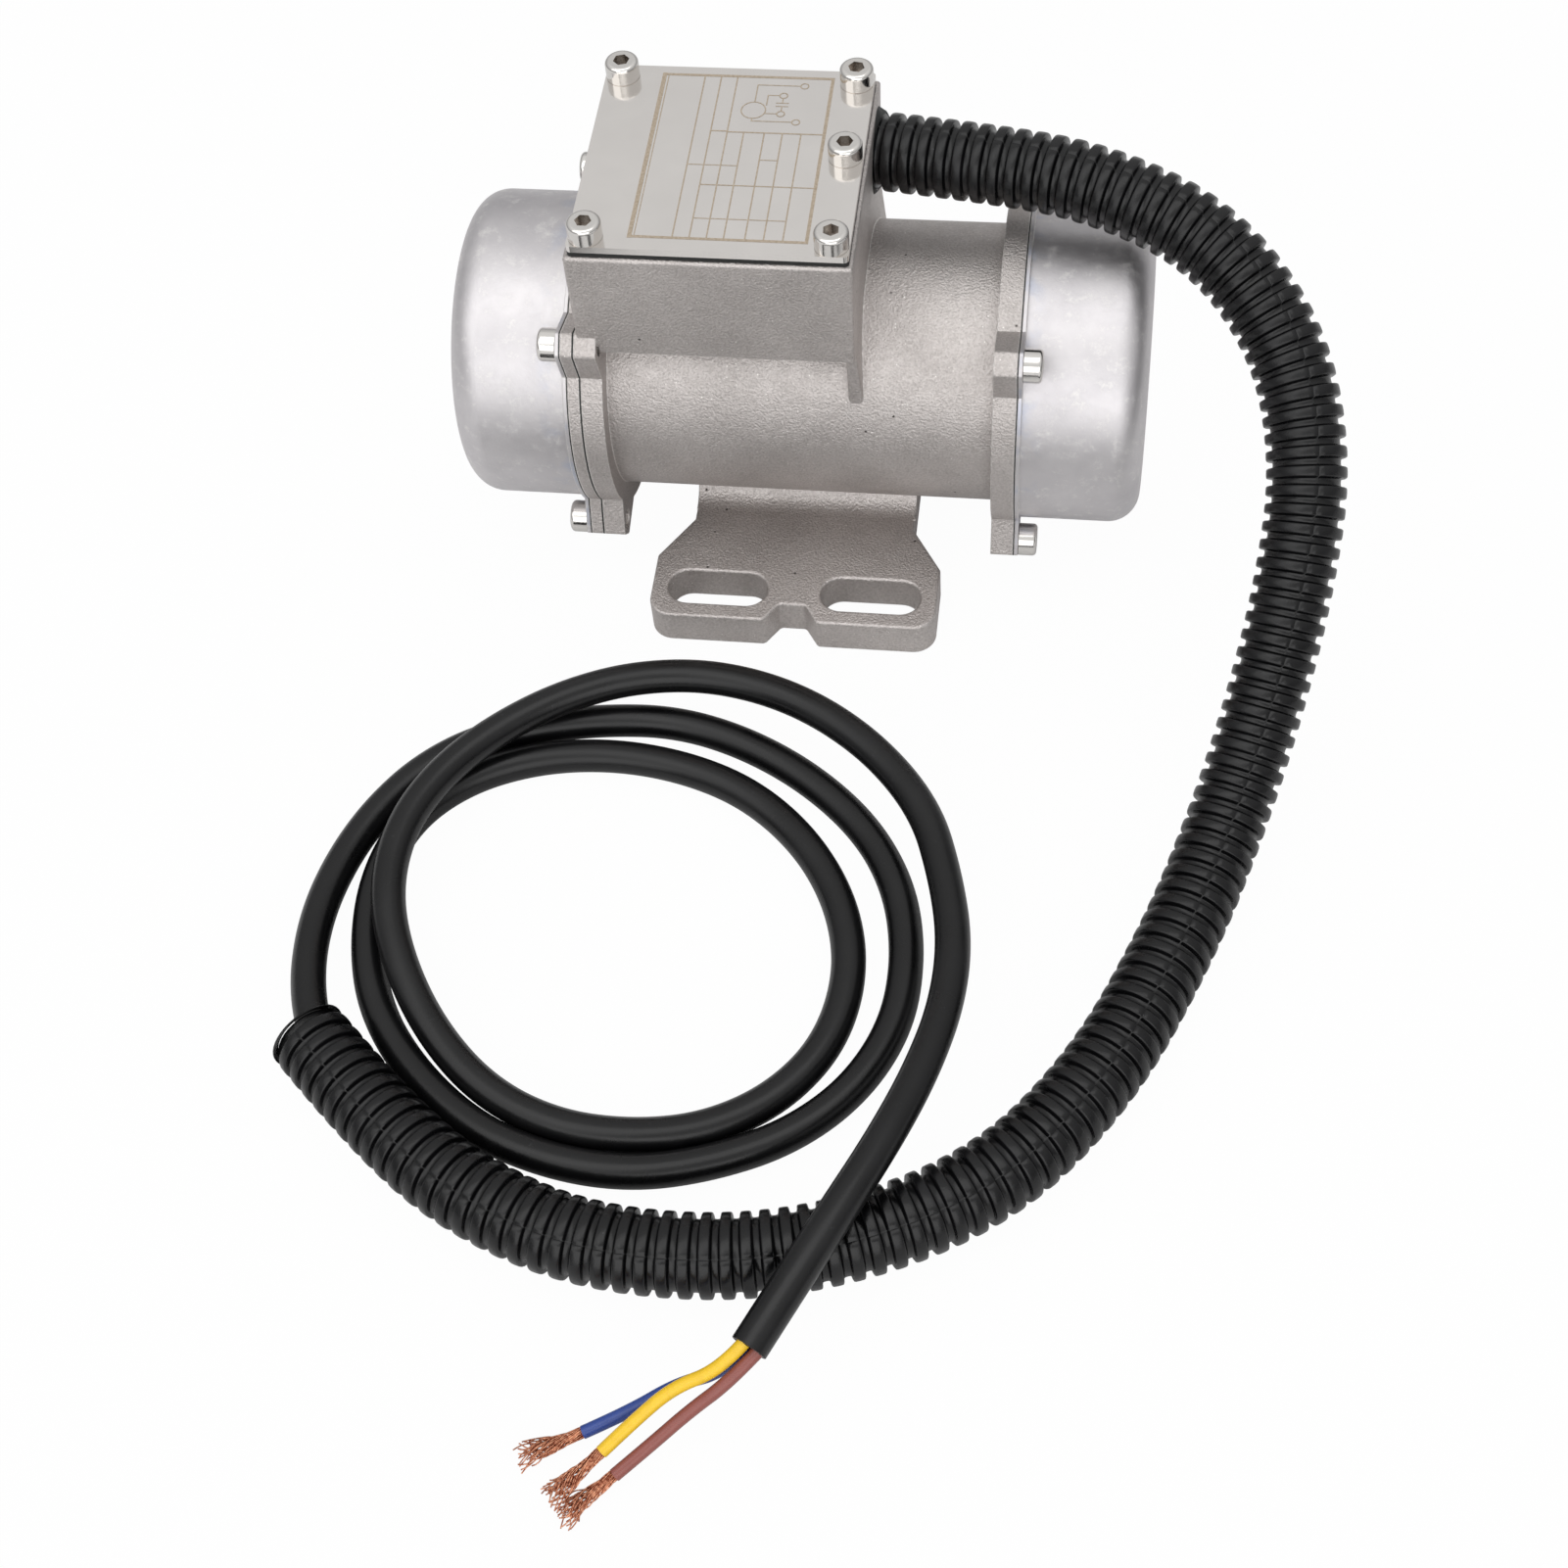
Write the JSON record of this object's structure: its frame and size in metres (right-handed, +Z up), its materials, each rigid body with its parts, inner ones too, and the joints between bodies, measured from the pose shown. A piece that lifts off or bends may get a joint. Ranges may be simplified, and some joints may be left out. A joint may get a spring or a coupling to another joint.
{
  "type": "vibration motor",
  "caption": "Small electric vibration motor: cast stainless body with slotted feet and a terminal box, drawn end covers over eccentric weights, corrugated conduit and a coiled supply cable.",
  "frame": {"origin": "centre of the four foot slots, on the underside of the feet", "axes": "+X along the shaft towards the side where the cable leaves, +Y to the back, +Z up"},
  "size_m": [0.2062, 0.2964, 0.1005],
  "materials": {
    "cast_stainless": "bead-blasted investment-cast stainless steel",
    "satin_stainless": "satin stainless sheet",
    "drawn_stainless": "deep-drawn stainless sheet",
    "rubber": "matt",
    "screw_steel": "polished stainless",
    "bearing_steel": "ground and polished",
    "cage_brass": "turned",
    "spring_steel": "blued",
    "laminated_steel": "stacked sheets",
    "copper": "bare and enamelled copper wire",
    "rotor_aluminium": "as cast",
    "turned_steel": "turned",
    "weight_steel": "sawn plate, oiled",
    "capacitor_plastic": "moulded",
    "terminal_plastic": "moulded",
    "conduit_plastic": "corrugated, satin black",
    "cable_sheath": "smooth black sheath",
    "motor_lead_sleeve": "glass-silicone sleeve",
    "blue_insulation": "PVC",
    "yellow_insulation": "PVC with a green stripe",
    "brown_insulation": "PVC"
  },
  "bodies": {
    "casing": {"housing": "cast_stainless", "end_shield": "cast_stainless", "terminal_lid": "satin_stainless", "left_cover": "drawn_stainless", "right_cover": "drawn_stainless", "lid_seal": "rubber", "left_cover_packing": "rubber", "right_cover_packing": "rubber", "shield_packing_ring": "rubber", "conduit_sealant": "rubber", "cable_bush": "rubber", "lid_screws": "screw_steel", "left_flange_screws": "screw_steel", "right_flange_screws": "screw_steel", "earth_screw": "screw_steel", "terminal_screws": "screw_steel", "left_bearing_outer_ring": "bearing_steel", "right_bearing_outer_ring": "bearing_steel", "wave_washer": "spring_steel", "bearing_circlip": "spring_steel", "stator_core": "laminated_steel", "main_winding": "copper", "start_winding": "copper", "bare_strands": "copper", "capacitor": "capacitor_plastic", "terminal_block": "terminal_plastic", "conduit": "conduit_plastic", "cable": "cable_sheath", "cable_coil": "cable_sheath", "cable_tail": "cable_sheath", "supply_leads": "cable_sheath", "motor_leads": "motor_lead_sleeve", "blue_core": "blue_insulation", "earth_core": "yellow_insulation", "brown_core": "brown_insulation"},
    "rotor": {"shaft": "turned_steel", "rotor_core": "laminated_steel", "rotor_end_rings": "rotor_aluminium", "left_bearing_inner_ring": "bearing_steel", "right_bearing_inner_ring": "bearing_steel", "weight_spacers": "turned_steel", "left_fixed_weight": "weight_steel", "right_fixed_weight": "weight_steel", "weight_keys": "turned_steel", "shaft_end_clips": "spring_steel"},
    "left_adjustable": {"left_adjustable_weight": "weight_steel", "left_grub_screw": "turned_steel"},
    "right_adjustable": {"right_adjustable_weight": "weight_steel", "right_grub_screw": "turned_steel"},
    "left_balls": {"left_bearing_balls": "bearing_steel", "left_ball_cage": "cage_brass"},
    "right_balls": {"right_bearing_balls": "bearing_steel", "right_ball_cage": "cage_brass"}
  },
  "joints": [
    {"name": "rotor_spin", "type": "hinge", "parent": "casing", "child": "rotor", "pos_m": [0, 0, 0.042], "axis": [1, 0, 0], "continuous": true},
    {"name": "left_weight_setting", "type": "hinge", "parent": "rotor", "child": "left_adjustable", "pos_m": [0, 0, 0.042], "axis": [1, 0, 0], "range_deg": [0, 180]},
    {"name": "right_weight_setting", "type": "hinge", "parent": "rotor", "child": "right_adjustable", "pos_m": [0, 0, 0.042], "axis": [1, 0, 0], "range_deg": [0, 180]},
    {"name": "left_cage_spin", "type": "hinge", "parent": "casing", "child": "left_balls", "pos_m": [0, 0, 0.042], "axis": [1, 0, 0], "continuous": true},
    {"name": "right_cage_spin", "type": "hinge", "parent": "casing", "child": "right_balls", "pos_m": [0, 0, 0.042], "axis": [1, 0, 0], "continuous": true}
  ],
  "couplings": [
    {"joint": "left_cage_spin", "follows": "rotor_spin", "ratio": 0.3659},
    {"joint": "right_cage_spin", "follows": "rotor_spin", "ratio": 0.3659}
  ]
}
